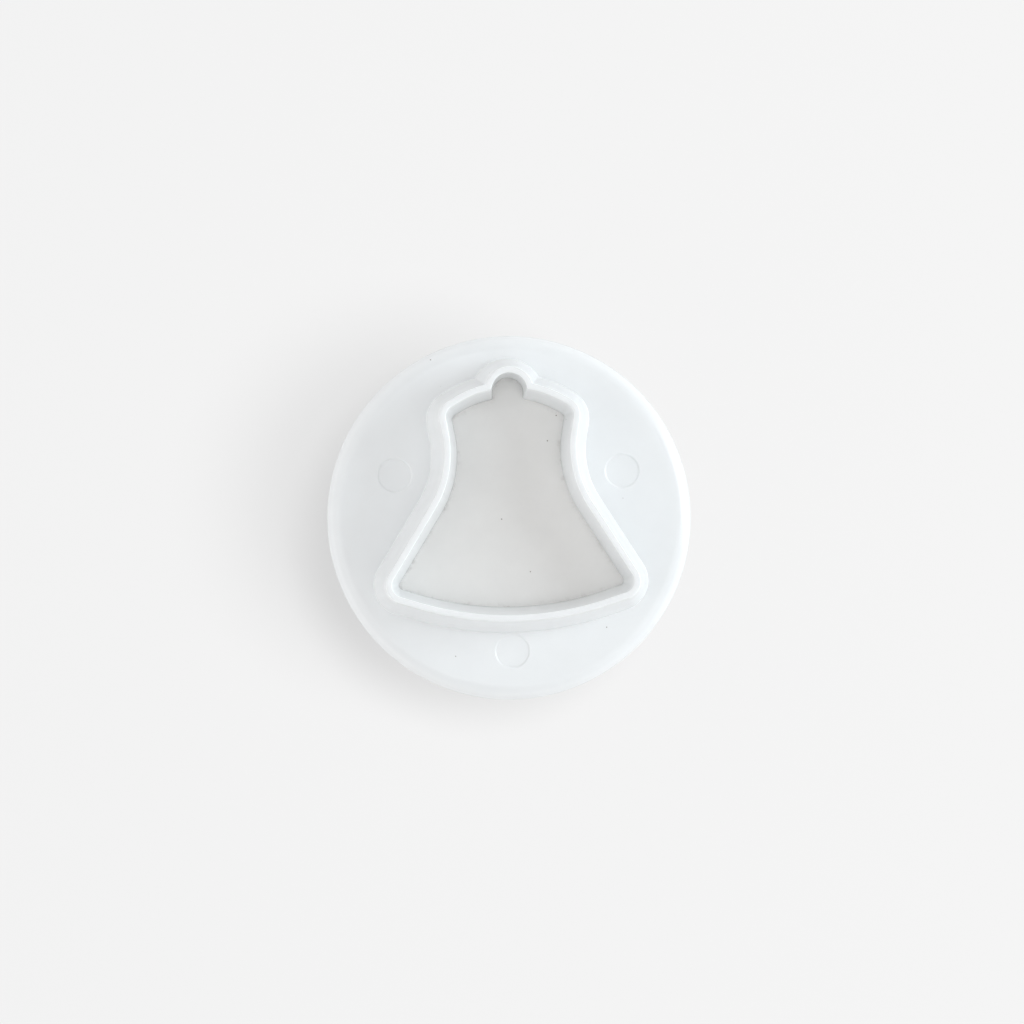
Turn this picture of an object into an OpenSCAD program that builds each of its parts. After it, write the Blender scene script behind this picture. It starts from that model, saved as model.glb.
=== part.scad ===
// Plunger cutter with a bell-shaped blade, standing blade up on its push knob.
// Origin: centre of the knob's resting face. +Z points to the cutting rim, +Y to the bell's crown.

/* [Flange] */
// Diameter of the round flange
flange_d = 50; // [48:0.5:60]
// Thickness of the flange
flange_t = 2; // [1.8:0.1:3]
// Width of the bevel round the flange on the cutting side
bevel_w = 1.7; // [1:0.1:1.8]
// How far the bevel drops from the flange's face to its edge
bevel_drop = 1.2; // [0.6:0.1:1.2]
// Rounding between the bevel and the flange's side
flange_edge_r = 0.5; // [0.2:0.1:0.5]
// Diameter of the three round moulding marks in the flange
mark_d = 4.6; // [3:0.1:5]
// Depth of the moulding marks
mark_depth = 0.15; // [0.1:0.05:0.3]
// Distance of the two side marks from the centre
side_mark_r = 16.75; // [16:0.05:18]
// Angle of the side marks above the X axis
side_mark_angle = 21.4; // [18:0.1:30]
// Distance of the lower mark from the centre
low_mark_r = 18.3; // [18.3:0.1:20]

/* [Bell blade] */
// Height of the blade's wall above the flange
blade_h = 9.5; // [8:0.5:14]
// Width of the flat cutting rim
rim_w = 0.8; // [0.6:0.1:1.2]
// How far the wall's outside flares out from the rim down to the flange
outer_flare = 1.75; // [0.8:0.05:1.8]
// How far the wall's inside closes in from the rim down to the ejector plate
inner_flare = 1; // [0.3:0.05:1.1]
// Radius of the round crown on top of the bell
crown_r = 2.4; // [2.2:0.05:2.8]
// Share of the inside's closing in that the narrow crown takes part in
crown_draft = 0.3; // [0.2:0.05:1]
// Height of the crown's centre
crown_y = 16.9; // [16.5:0.1:17.2]
// Height of the dome's corner, on the axis
dome_y = 19.45; // [19.2:0.05:19.6]
// Radius of the dome
dome_r = 13.8; // [12:0.1:14]
// Half the width at the shoulder's corner
shoulder_x = 8.8; // [8.6:0.05:9]
// Height of the shoulder's corner
shoulder_y = 14.3; // [14.1:0.05:14.5]
// Radius of the shoulder
shoulder_r = 1.7; // [1.3:0.1:1.9]
// Half the width at the waist's corner
waist_x = 7.25; // [7:0.05:7.6]
// Height of the waist's corner
waist_y = 6; // [5.6:0.1:6.6]
// Radius of the waist's hollow curve
waist_r = 14.4; // [12:0.1:15]
// Half the width at the lip's corner
lip_x = 17.1; // [16:0.1:17.4]
// Height of the lip's corner, below the flange's centre
lip_y = -9.85; // [-10.1:0.05:-9.5]
// Radius of the lip's corner
lip_r = 1.6; // [1.3:0.1:1.8]
// Height of the mouth's corner, on the axis
mouth_y = -15.3; // [-15.5:0.05:-15]
// Radius of the mouth's curve
mouth_r = 42; // [36:1:44]

/* [Ejector] */
// Thickness of the ejector plate
plate_t = 2.2; // [1.8:0.1:3]
// Gap between the plate's edge and the wall round it
plate_gap = 0.25; // [0.2:0.05:0.35]
// Diameter of the post behind the plate
post_d = 6; // [5.4:0.1:6.4]
// Travel of the plunger
travel = 7.2; // [5:0.1:7.2]

/* [Collar] */
// Outer diameter of the collar behind the flange
collar_d = 22; // [21.4:0.1:24]
// Inner diameter of the collar
collar_bore_d = 18.6; // [18.6:0.1:19]
// Number of ribs that brace the collar
rib_count = 6; // [4:1:8]
// Thickness of each rib
rib_t = 1.2; // [0.8:0.1:1.6]
// How far the ribs reach along the flange from the collar
rib_reach = 8; // [5:0.5:10]
// How far the ribs reach down the collar from the flange
rib_drop = 6; // [4:0.5:7]

/* [Knob] */
// Diameter of the knob's head
knob_d = 28; // [27:0.5:32]
// Thickness of the knob's head
head_t = 5; // [5:0.5:7]
// Radius of the head's edge round the resting face
head_edge_r = 2; // [1:0.1:2.4]
// Outer diameter of the knob's neck
neck_d = 18; // [17.8:0.1:18]
// Inner diameter of the knob's neck
neck_bore_d = 14.4; // [14:0.1:14.8]
// Depth of the thumb dish in the resting face
dish_depth = 0.6; // [0.4:0.1:0.8]
// Diameter of the thumb dish
dish_d = 21; // [18:0.5:21]
// Diameter of the cap over the screw
cap_d = 12; // [11:0.5:13]

/* [Spring] */
// Diameter of the spring's wire
wire_d = 0.8; // [0.6:0.05:0.8]
// Diameter of the spring, from wire centre to wire centre
coil_d = 11.6; // [11:0.1:12.2]
// Number of turns in the spring
coil_turns = 9; // [7:1:9]

/* [Hidden] */
$fn = 96;

// Room between pieces that slide or seat
run_gap = 0.1;
end_gap = 0.8;
seat_gap = 0.05;
// Overlap that joins solids of one moulding
weld = 0.3;
// Height of the blade that is drawn past the rim and cut off flat
trim_h = 1;
// How far the crown closes in from the rim down to the plate
crown_in = inner_flare * crown_draft;

// Screw, its washer and its cap
screw_r = 1.45;
screw_hole_r = 1.6;
pilot_r = 1.25;
screw_bite = 8;
screw_point = 2;
screw_head_r = 2.8;
screw_head_t = 2;
screw_head_edge_r = 0.9;
drive_l = 3.2;
drive_w = 0.7;
drive_depth = 1.1;
washer_r = 3.4;
washer_t = 0.5;
cap_t = 1.2;
cap_edge_r = 0.3;

// Heights, from the knob's resting face up to the cutting rim
cap_top_z = dish_depth + cap_t;
screw_seat_z = cap_top_z + screw_head_t + 0.2;
web_z = screw_seat_z + washer_t;
web_t = 1.6;
knob_floor_z = web_z + web_t;
collar_z = head_t + travel + end_gap;
neck_overlap = 3.5;
neck_top_z = collar_z + neck_overlap;
flange_z = neck_top_z + travel + end_gap;
flange_top_z = flange_z + flange_t;
plate_top_z = flange_top_z + plate_t;
rim_z = flange_top_z + blade_h;

// Guide for the post in the flange, and the socket for its end in the knob
guide_wall = 1.3;
guide_drop = 3;
socket_wall = 1.2;
socket_h = 2;

// Edge roundings that are too small to matter to the fit
flange_back_r = 0.3;
head_back_r = 1.2;
neck_root_r = 0.8;
mouth_bevel = 0.4;
pilot_room = 1;

// Corners of the bell, counterclockwise from the mouth, each as [x, y, radius].
// They give the inner edge of the cutting rim.
BELL = [
    [0, mouth_y, mouth_r],
    [lip_x, lip_y, lip_r],
    [waist_x, waist_y, waist_r],
    [shoulder_x, shoulder_y, shoulder_r],
    [0, dome_y, dome_r],
    [-shoulder_x, shoulder_y, shoulder_r],
    [-waist_x, waist_y, waist_r],
    [-lip_x, lip_y, lip_r]
];
arc_steps = 8;

function unit(v) = v / norm(v);
function turn(a, b) = a.x * b.y - a.y * b.x;
function flat(p) = [p.x, p.y];

// Points on a circle's arc between two angles
function arc(centre, r, from, to, steps = 8) =
    [for (i = [0 : steps])
        let (angle = from + (to - from) * i / steps)
        centre + r * [cos(angle), sin(angle)]];

// Points of the arc that rounds corner b between corners a and c, each as [point, outward normal]
function rounded_corner(a, b, c, r) =
    let (
        u = unit(a - b),
        v = unit(c - b),
        side = turn(b - a, c - b) > 0 ? 1 : -1,
        half = acos(u * v) / 2,
        centre = b + unit(u + v) * r / sin(half),
        first = b + u * r / tan(half) - centre,
        start = atan2(first.y, first.x),
        sweep = side * (180 - 2 * half)
    )
    [for (i = [0 : arc_steps])
        let (
            angle = start + sweep * i / arc_steps,
            ray = [cos(angle), sin(angle)]
        )
        [centre + r * ray, side * ray]];

BELL_RING = let (count = len(BELL))
    [for (i = [0 : count - 1])
        let (
            before = BELL[(i + count - 1) % count],
            after = BELL[(i + 1) % count]
        )
        each rounded_corner(flat(before), flat(BELL[i]), flat(after), BELL[i].z)];

// The bell's outline, moved outwards by a distance
function bell_outline(grow) = [for (p = BELL_RING) p[0] + grow * p[1]];

// Solid through the bell's outline at several levels, each as [height, growth]
module bell_loft(levels) {
    count = len(BELL_RING);
    last = len(levels) - 1;
    points = [for (level = levels, p = bell_outline(level[1])) [p.x, p.y, level[0]]];
    bottom = [for (i = [0 : count - 1]) i];
    top = [for (i = [count - 1 : -1 : 0]) last * count + i];
    sides = [for (k = [0 : last - 1], i = [0 : count - 1])
        let (j = (i + 1) % count)
        [k * count + i, (k + 1) * count + i, (k + 1) * count + j, k * count + j]];
    polyhedron(points = points, faces = concat([bottom, top], sides), convexity = 6);
}

// Round crown of the bell between two levels, each as [height, growth]
module crown(low, high) {
    translate([0, crown_y, low[0]])
        cylinder(h = high[0] - low[0], r1 = crown_r + low[1], r2 = crown_r + high[1]);
}

module ring(z, h, outer_r, inner_r) {
    translate([0, 0, z])
        difference() {
            cylinder(h = h, r = outer_r);
            translate([0, 0, -1])
                cylinder(h = h + 2, r = inner_r);
        }
}

// Growth of a wall that slopes evenly from one level to another, carried on past the rim by a height
function carried_on(low, high, past) =
    [high[0] + past, high[1] + (high[1] - low[1]) * past / (high[0] - low[0])];

// Outside of the blade's wall, from inside the flange up past the rim
module blade_outside() {
    low = [flange_top_z - weld, rim_w + outer_flare];
    foot = [flange_top_z, rim_w + outer_flare];
    past = carried_on(foot, [rim_z, rim_w], trim_h);
    bell_loft([low, foot, past]);
    crown(low, foot);
    crown(foot, past);
}

// The well inside the blade: straight round the plate, then opening out past the rim
module blade_well() {
    seat = [flange_top_z, -inner_flare];
    straight = [plate_top_z, -inner_flare];
    past = carried_on(straight, [rim_z, 0], 2 * trim_h);
    crown_seat = [flange_top_z, -crown_in];
    crown_straight = [plate_top_z, -crown_in];
    crown_past = carried_on(crown_straight, [rim_z, 0], 2 * trim_h);
    bell_loft([seat, straight, past]);
    crown(crown_seat, crown_straight);
    crown(crown_straight, crown_past);
}

module flange_disc() {
    r = flange_d / 2;
    back = arc([r - flange_back_r, flange_z + flange_back_r], flange_back_r, -90, 0, 4);
    side = [r, flange_z + flange_back_r];
    corner = [r, flange_top_z - bevel_drop];
    top = [r - bevel_w, flange_top_z];
    edge = [for (p = rounded_corner(side, corner, top, flange_edge_r)) p[0]];
    rotate_extrude()
        polygon(concat([[0, flange_z]], back, edge, [top, [0, flange_top_z]]));
}

module moulding_marks() {
    marks = [
        [side_mark_r, side_mark_angle],
        [side_mark_r, 180 - side_mark_angle],
        [low_mark_r, 270]
    ];
    for (mark = marks)
        rotate(mark[1])
            translate([mark[0], 0, flange_top_z - mark_depth])
                cylinder(h = 1, d = mark_d);
}

// Ribs between the collar and the flange's back, clear of the X axis where the fingers go
module collar_ribs() {
    inside = collar_d / 2 - weld;
    outside = collar_d / 2 + rib_reach;
    for (i = [0 : rib_count - 1])
        rotate((i + 0.5) * 360 / rib_count)
            rotate([90, 0, 0])
                translate([0, 0, -rib_t / 2])
                    linear_extrude(rib_t)
                        polygon([
                            [inside, flange_z - rib_drop],
                            [collar_d / 2, flange_z - rib_drop],
                            [outside, flange_z - weld],
                            [outside, flange_z + weld],
                            [inside, flange_z + weld]
                        ]);
}

module cutter_body() {
    bore_r = post_d / 2 + run_gap;
    color("white")
        difference() {
            union() {
                flange_disc();
                blade_outside();
                ring(collar_z, flange_z - collar_z + weld, collar_d / 2, collar_bore_d / 2);
                ring(flange_z - guide_drop, guide_drop + weld, bore_r + guide_wall, bore_r);
                collar_ribs();
            }
            blade_well();
            translate([0, 0, rim_z])
                cylinder(h = 2 * trim_h, d = flange_d);
            moulding_marks();
            translate([0, 0, collar_z])
                cylinder(h = rim_z, r = bore_r);
            translate([0, 0, collar_z - weld])
                cylinder(h = mouth_bevel + weld, r1 = collar_bore_d / 2 + mouth_bevel + weld, r2 = collar_bore_d / 2);
        }
}

module ejector_plate() {
    shrink = inner_flare + plate_gap;
    crown_shrink = crown_in + plate_gap;
    color("white")
        difference() {
            union() {
                translate([0, 0, flange_top_z])
                    linear_extrude(plate_t)
                        polygon(bell_outline(-shrink));
                crown([flange_top_z, -crown_shrink], [plate_top_z, -crown_shrink]);
                translate([0, 0, knob_floor_z])
                    cylinder(h = flange_top_z - knob_floor_z + weld, d = post_d);
            }
            translate([0, 0, knob_floor_z - 1])
                cylinder(h = screw_bite + pilot_room + 1, r = pilot_r);
        }
}

// The spring's wire runs once round for each turn, closer at both ends where the coils are closed
spring_sides = 6;
spring_steps = 8;
spring_rings = coil_turns * spring_steps;
spring_h = flange_z - knob_floor_z - wire_d;
closed_pitch = wire_d + 0.45;
open_pitch = (spring_h - 2 * closed_pitch) / (coil_turns - 2);

function spring_rise(turns) =
    turns < 1 ? turns * closed_pitch
    : turns > coil_turns - 1 ? spring_h - (coil_turns - turns) * closed_pitch
    : closed_pitch + (turns - 1) * open_pitch;

SPRING_LINE = [for (i = [0 : spring_rings])
    let (turns = i / spring_steps)
    [
        coil_d / 2 * cos(360 * turns),
        coil_d / 2 * sin(360 * turns),
        knob_floor_z + wire_d / 2 + spring_rise(turns)
    ]];

// Least gap between coils, measured between points of the wire's line one turn apart
spring_gap = min([for (i = [0 : spring_rings - spring_steps])
    norm(SPRING_LINE[i + spring_steps] - SPRING_LINE[i])]) - wire_d;
echo(spring_gap = spring_gap);

module return_spring() {
    points = [for (i = [0 : spring_rings], k = [0 : spring_sides - 1])
        let (
            p = SPRING_LINE[i],
            out = unit([p.x, p.y, 0]),
            angle = 360 * (k + 0.5) / spring_sides
        )
        p + wire_d / 2 * (cos(angle) * out + sin(angle) * [0, 0, 1])];
    start_cap = [for (k = [0 : spring_sides - 1]) k];
    end_cap = [for (k = [spring_sides - 1 : -1 : 0]) spring_rings * spring_sides + k];
    skin = [for (i = [0 : spring_rings - 1], k = [0 : spring_sides - 1])
        let (
            a = i * spring_sides + k,
            b = i * spring_sides + (k + 1) % spring_sides,
            c = a + spring_sides,
            d = b + spring_sides
        )
        each [[a, c, d], [a, d, b]]];
    color("silver")
        polyhedron(points = points, faces = concat([start_cap, end_cap], skin), convexity = 10);
}

// The head's outline: a shallow dish round the cap, a flat ring to stand on, rounded edges and the neck's root
module knob_head() {
    r = knob_d / 2;
    root_x = neck_d / 2 + neck_root_r;
    root_z = head_t + neck_root_r;
    dish_r = dish_d / 2;
    bowl_r = (dish_r * dish_r + dish_depth * dish_depth) / (2 * dish_depth);
    bowl_angle = asin(dish_r / bowl_r);
    dish = arc([0, dish_depth - bowl_r], bowl_r, 90, 90 - bowl_angle);
    edge = arc([r - head_edge_r, head_edge_r], head_edge_r, -90, 0);
    back = arc([r - head_back_r, head_t - head_back_r], head_back_r, 0, 90);
    root = arc([root_x, root_z], neck_root_r, 270, 180);
    rotate_extrude()
        polygon(concat(dish, edge, back, root, [[0, root_z]]));
}

module push_knob() {
    color("white")
        difference() {
            union() {
                knob_head();
                difference() {
                    translate([0, 0, head_t - weld])
                        cylinder(h = neck_top_z - head_t + weld, d = neck_d);
                    translate([0, 0, knob_floor_z])
                        cylinder(h = neck_top_z, d = neck_bore_d);
                }
                ring(knob_floor_z - weld, socket_h + weld, post_d / 2 + seat_gap + socket_wall, post_d / 2 + seat_gap);
            }
            translate([0, 0, -1])
                cylinder(h = cap_top_z + 1, d = cap_d + 2 * seat_gap);
            cylinder(h = web_z, r = washer_r + 2 * seat_gap);
            cylinder(h = neck_top_z, r = screw_hole_r);
        }
}

module knob_screw() {
    tip_z = web_z + web_t + screw_bite;
    head_z = screw_seat_z - screw_head_t;
    head = arc([screw_head_r - screw_head_edge_r, head_z + screw_head_edge_r], screw_head_edge_r, -90, 0);
    color("silver")
        difference() {
            union() {
                rotate_extrude()
                    polygon(concat([[0, head_z]], head, [[screw_head_r, screw_seat_z], [0, screw_seat_z]]));
                translate([0, 0, screw_seat_z - weld])
                    cylinder(h = tip_z - screw_point - screw_seat_z + weld, r = screw_r);
                translate([0, 0, tip_z - screw_point])
                    cylinder(h = screw_point, r1 = screw_r, r2 = screw_r / 4);
            }
            for (angle = [0, 90])
                rotate(angle)
                    translate([-drive_l / 2, -drive_w / 2, head_z - 1])
                        cube([drive_l, drive_w, drive_depth + 1]);
        }
}

module screw_washer() {
    color("silver")
        ring(screw_seat_z, washer_t, washer_r, screw_r + seat_gap);
}

module knob_cap() {
    r = cap_d / 2;
    edge = arc([r - cap_edge_r, dish_depth + cap_edge_r], cap_edge_r, -90, 0, 4);
    color("whitesmoke")
        rotate_extrude()
            polygon(concat([[0, dish_depth]], edge, [[r, cap_top_z], [0, cap_top_z]]));
}

cutter_body();
ejector_plate();
return_spring();
push_knob();
knob_screw();
screw_washer();
knob_cap();
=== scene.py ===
"""Bell-shaped plunger cutter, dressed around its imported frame.

Each piece is a surface worked out on a grid, in metres, standing on z = 0 with the blade up.
"""
import math

import bpy
import numpy as np
from bpy.props import FloatProperty, FloatVectorProperty, IntProperty, PointerProperty
from mathutils import Matrix, Vector


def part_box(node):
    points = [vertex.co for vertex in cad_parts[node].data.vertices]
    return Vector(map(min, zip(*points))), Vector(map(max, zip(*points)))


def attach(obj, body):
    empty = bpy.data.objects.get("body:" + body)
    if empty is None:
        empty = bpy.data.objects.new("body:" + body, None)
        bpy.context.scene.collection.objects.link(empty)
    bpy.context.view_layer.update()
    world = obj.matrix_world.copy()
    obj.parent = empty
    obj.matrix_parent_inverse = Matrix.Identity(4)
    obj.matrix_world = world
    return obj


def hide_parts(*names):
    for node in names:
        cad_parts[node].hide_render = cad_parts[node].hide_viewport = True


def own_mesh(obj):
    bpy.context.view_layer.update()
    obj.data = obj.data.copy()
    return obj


bl_info = {
    "name": "Bell Plunger Cutter",
    "version": (1, 0, 0),
    "blender": (4, 5, 0),
    "location": "3D View > Sidebar > Cutter",
    "description": "Surfaces, finishes and stage of a sprung plunger cutter with a bell-shaped blade",
    "category": "Object",
}

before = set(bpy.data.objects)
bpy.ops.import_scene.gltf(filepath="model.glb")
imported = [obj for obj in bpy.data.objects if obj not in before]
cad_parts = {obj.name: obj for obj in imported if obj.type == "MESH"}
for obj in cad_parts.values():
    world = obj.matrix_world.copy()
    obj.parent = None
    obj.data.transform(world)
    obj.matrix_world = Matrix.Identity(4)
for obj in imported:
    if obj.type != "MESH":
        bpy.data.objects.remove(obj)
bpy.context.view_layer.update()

MM = 0.001
TURN = 2 * math.pi

# Roundings that no property holds: crisp, thin, fine and soft edges, and the hollow roots of hidden walls
CRISP_R = 0.1 * MM
THIN_R = 0.12 * MM
FINE_R = 0.15 * MM
SOFT_R = 0.25 * MM
ROOT_R = 0.3 * MM
BORE_ROOT_R = 0.4 * MM
COLLAR_ROOT_R = 0.5 * MM

# Columns round a stamp, the screw and the washer, the cap and the knob
STAMP_COLUMNS = 72
STEEL_COLUMNS = 96
CAP_COLUMNS = 144
KNOB_COLUMNS = 192

# Width of the flat apron round the blade's foot and of the flat ledge inside the bevel, and the largest gap
# between rows of the blade's wall
APRON_W = 1.0 * MM
LEDGE_W = 0.4 * MM
WALL_GAP = 1.6 * MM

# Steps of the bell's straight stretches from mouth to dome, of the dome's side, of the small hollow arc
# beside the crown and of half the crown's arc
STRAIGHT_STEPS = (5, 14, 5, 3)
DOME_STEPS = 14
NOTCH_STEPS = 6
CROWN_STEPS = 14

# Levels that the frame gives, from the resting face up to the cutting rim
RIM_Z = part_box("cutter_body")[1][2]
COLLAR_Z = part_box("cutter_body")[0][2]
FLANGE_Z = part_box("return_spring")[1][2]
KNOB_FLOOR_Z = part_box("return_spring")[0][2]
PLATE_TOP_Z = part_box("ejector_plate")[1][2]
NECK_TOP_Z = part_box("push_knob")[1][2]
CAP_Z, CAP_TOP_Z = (corner[2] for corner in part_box("knob_cap"))
SEAT_Z, WEB_Z = (corner[2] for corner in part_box("screw_washer"))
SCREW_Z, SCREW_TIP_Z = (corner[2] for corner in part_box("knob_screw"))

# Widths that the frame gives
FLANGE_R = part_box("cutter_body")[1][0]
KNOB_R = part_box("push_knob")[1][0]
CAP_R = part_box("knob_cap")[1][0]
WASHER_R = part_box("screw_washer")[1][0]
SCREW_HEAD_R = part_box("knob_screw")[1][0]


def linear(hex_colour):
    """Linear red, green and blue of an sRGB hex colour"""
    channels = [int(hex_colour[i:i + 2], 16) / 255 for i in (1, 3, 5)]
    return [c / 12.92 if c <= 0.04045 else ((c + 0.055) / 1.055) ** 2.4 for c in channels]


def length(name, millimetres, description):
    """A property that holds a length, its default given in millimetres"""
    return FloatProperty(
        name=name, description=description, default=millimetres * MM,
        subtype="DISTANCE", unit="LENGTH", precision=5,
    )


def colour(name, hex_colour, description):
    """A property that holds a colour, its default given as sRGB hex"""
    return FloatVectorProperty(
        name=name, description=description, default=linear(hex_colour),
        size=3, subtype="COLOR", min=0.0, max=1.0,
    )


def share(name, default, description, top=1.0):
    """A property that holds a plain number from 0 up"""
    return FloatProperty(name=name, description=description, default=default, min=0.0, max=top)


def count(name, default, description):
    """A property that holds a whole number"""
    return IntProperty(name=name, description=description, default=default, min=1)


def degrees(name, default, description):
    """A property that holds an angle, its default given in degrees"""
    return FloatProperty(
        name=name, description=description, default=math.radians(default),
        subtype="ANGLE", unit="ROTATION",
    )


class BellBlade(bpy.types.PropertyGroup):
    """The bell-shaped wall that cuts, with the inner edge of its rim as the bell's outline"""

    rim_w: length("Rim width", 0.8, "Width of the flat cutting rim")
    outer_flare: length("Outer flare", 1.75, "How far the wall's outside flares out down to the flange")
    inner_flare: length("Inner flare", 1.0, "How far the wall's inside closes in down to the plate")
    height: length("Height", 9.5, "Height of the wall above the flange")
    crown_r: length("Crown radius", 2.4, "Radius of the round crown on top of the bell")
    crown_y: length("Crown height", 16.9, "Height of the crown's centre")
    dome_y: length("Dome height", 19.45, "Height of the dome's corner, on the axis")
    dome_r: length("Dome radius", 13.8, "Radius of the dome")
    shoulder_x: length("Shoulder width", 8.8, "Half the width at the shoulder's corner")
    shoulder_y: length("Shoulder height", 14.3, "Height of the shoulder's corner")
    shoulder_r: length("Shoulder radius", 1.7, "Radius of the shoulder")
    waist_x: length("Waist width", 7.25, "Half the width at the waist's corner")
    waist_y: length("Waist height", 6.0, "Height of the waist's corner")
    waist_r: length("Waist radius", 14.4, "Radius of the waist's hollow curve")
    lip_x: length("Lip width", 17.1, "Half the width at the lip's corner")
    lip_y: length("Lip height", -9.85, "Height of the lip's corner")
    lip_r: length("Lip radius", 1.6, "Radius of the lip's corner")
    mouth_y: length("Mouth height", -15.3, "Height of the mouth's corner, on the axis")
    mouth_r: length("Mouth radius", 42.0, "Radius of the mouth's curve")
    notch_r: length("Notch radius", 0.35, "Radius of the hollow between the crown and the dome")
    crown_draft: share("Crown draft", 0.3, "Inner flare round the crown, as a share of the rest")
    rim_edge_r: length("Rim rounding", 0.18, "Rounding of the rim's two edges")
    foot_r: length("Foot rounding", 0.12, "Hollow rounding where the wall meets the flange")


class FlangeSizes(bpy.types.PropertyGroup):
    """The round flange, its moulding marks, and the collar, guide and ribs behind it"""

    bevel_w: length("Bevel width", 1.7, "Width of the bevel round the flange on the cutting side")
    bevel_drop: length("Bevel drop", 1.2, "How far the bevel drops from the flange's face to its edge")
    bevel_crown: length("Bevel crown", 0.25, "How far the bevel swells out between its edges")
    bevel_r: length("Bevel rounding", 2.0, "Soft rounding between the flange's face and its bevel")
    edge_r: length("Edge rounding", 0.5, "Rounding between the bevel and the flange's side")
    back_r: length("Back rounding", 0.3, "Rounding of the flange's edge on the back")
    mark_d: length("Mark diameter", 4.6, "Diameter of the three round moulding marks")
    mark_depth: length("Mark depth", 0.13, "Depth of the moulding marks")
    mark_slope: length("Mark slope", 0.22, "Width of the sloping edge of each moulding mark")
    side_mark_r: length("Side mark distance", 16.75, "Distance of the side marks from the centre")
    side_mark_angle: degrees("Side mark angle", 21.4, "Angle of the side marks above the X axis")
    low_mark_r: length("Low mark distance", 18.3, "Distance of the lower mark from the centre")
    collar_d: length("Collar diameter", 22.0, "Outer diameter of the collar")
    collar_bore_d: length("Collar bore", 18.6, "Inner diameter of the collar")
    collar_edge_r: length("Collar rounding", 0.4, "Rounding of the collar's mouth")
    guide_bore_d: length("Guide bore", 6.2, "Diameter of the bore that guides the post")
    guide_wall: length("Guide wall", 1.3, "Wall of the guide round the post")
    guide_drop: length("Guide drop", 3.0, "How far the guide reaches behind the flange")
    rib_count: count("Ribs", 6, "Number of ribs that brace the collar")
    rib_t: length("Rib thickness", 1.2, "Thickness of each rib")
    rib_reach: length("Rib reach", 8.0, "How far each rib reaches along the flange from the collar")
    rib_drop: length("Rib drop", 6.0, "How far each rib reaches down the collar")
    rib_edge_r: length("Rib rounding", 0.3, "Rounding of the rib's free edge")


class PlateSizes(bpy.types.PropertyGroup):
    """The ejector plate and the post behind it"""

    gap: length("Gap", 0.003, "Gap between the plate's edge and the wall round it")
    edge_r: length("Edge rounding", 0.01, "Rounding of the plate's edge")
    post_d: length("Post diameter", 6.0, "Diameter of the post behind the plate")
    post_edge_r: length("Post rounding", 0.3, "Rounding of the post's end")
    root_r: length("Root rounding", 0.5, "Hollow rounding between the post and the plate")
    # Reach of the painted shade and dust that darken the plate inwards from its edge against the wall
    edge_dust_and_shade_w: length("Dirt width", 0.9, "How far the dirt reaches in from the plate's edge")
    pilot_r: length("Pilot radius", 1.25, "Radius of the screw's hole in the post")
    pilot_depth: length("Pilot depth", 9.0, "Depth of the screw's hole in the post")


class KnobSizes(bpy.types.PropertyGroup):
    """The push knob and the cap over its screw"""

    head_t: length("Head thickness", 5.0, "Thickness of the knob's head")
    head_edge_r: length("Head rounding", 2.0, "Rounding of the head's edge on the resting face")
    head_back_r: length("Head back rounding", 1.2, "Rounding of the head's edge on the neck's side")
    dish_d: length("Dish diameter", 21.0, "Diameter of the thumb dish")
    dish_depth: length("Dish depth", 0.6, "Depth of the thumb dish")
    neck_d: length("Neck diameter", 18.0, "Outer diameter of the neck")
    neck_bore_d: length("Neck bore", 14.4, "Inner diameter of the neck")
    neck_root_r: length("Neck root", 0.8, "Hollow rounding between the head and the neck")
    neck_edge_r: length("Neck edge", 0.35, "Rounding of the neck's open end")
    socket_r: length("Socket radius", 3.05, "Radius of the socket for the post's end")
    socket_wall: length("Socket wall", 1.2, "Wall of the socket")
    socket_h: length("Socket height", 2.0, "Height of the socket")
    screw_hole_r: length("Screw hole", 1.6, "Radius of the hole for the screw")
    seat_gap: length("Seat gap", 0.05, "Room round the cap and the washer")
    cap_edge_r: length("Cap rounding", 0.3, "Rounding of the cap's edge")
    cap_crown: length("Cap crown", 0.15, "How far the cap's face falls away from its middle")


class SteelSizes(bpy.types.PropertyGroup):
    """The return spring, the screw and the washer"""

    wire_d: length("Wire diameter", 0.8, "Diameter of the spring's wire")
    coil_d: length("Coil diameter", 11.6, "Diameter of the spring between wire centres")
    coil_turns: count("Turns", 9, "Number of turns in the spring")
    closed_gap: length("Closed gap", 0.45, "Gap between the turns at the spring's closed ends")
    pressed: share("Pressed length", 0.609, "Pressed length of the spring as a share of its free length")
    thread_r: length("Thread radius", 1.45, "Radius of the screw's thread")
    thread_depth: length("Thread depth", 0.32, "Depth of the screw's thread")
    thread_pitch: length("Thread pitch", 1.1, "Height that the thread climbs in one turn")
    point_l: length("Point length", 2.0, "Length of the screw's point")
    head_edge_r: length("Screw head rounding", 0.9, "Rounding of the screw's head")
    drive_l: length("Drive length", 3.2, "Length of the cross in the screw's head")
    drive_w: length("Drive width", 0.7, "Width of the cross in the screw's head")
    drive_depth: length("Drive depth", 1.1, "Depth of the cross in the screw's head")
    washer_edge_r: length("Washer rounding", 0.12, "Rounding of the washer's edges")


class Finishes(bpy.types.PropertyGroup):
    """Colours of the mouldings and metals"""

    body: colour("Body", "#EDEFF0", "Cool white of the moulded body")
    plate: colour("Plate", "#EBEAE8", "Slightly warmer white of the ejector plate")
    knob: colour("Knob", "#EDEFF0", "Cool white of the push knob")
    cap: colour("Cap", "#E9EBEC", "White of the cap")
    # Colour of the dust specks, and of the painted shade mixed with dust along the plate's edge in the crease
    # against the wall
    dust_and_shade: colour("Speck", "#8C857C", "Dust and flour left in corners")
    wire: colour("Wire", "#A9AAAC", "Drawn stainless steel wire")
    zinc: colour("Zinc", "#C3C6C9", "Bright zinc plate")
    floor: colour("Floor", "#F5F5F5", "Pale floor, as the camera sees it")
    daylight: colour("Daylight", "#F1FAFF", "Slightly blue light of the low lamp")


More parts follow.
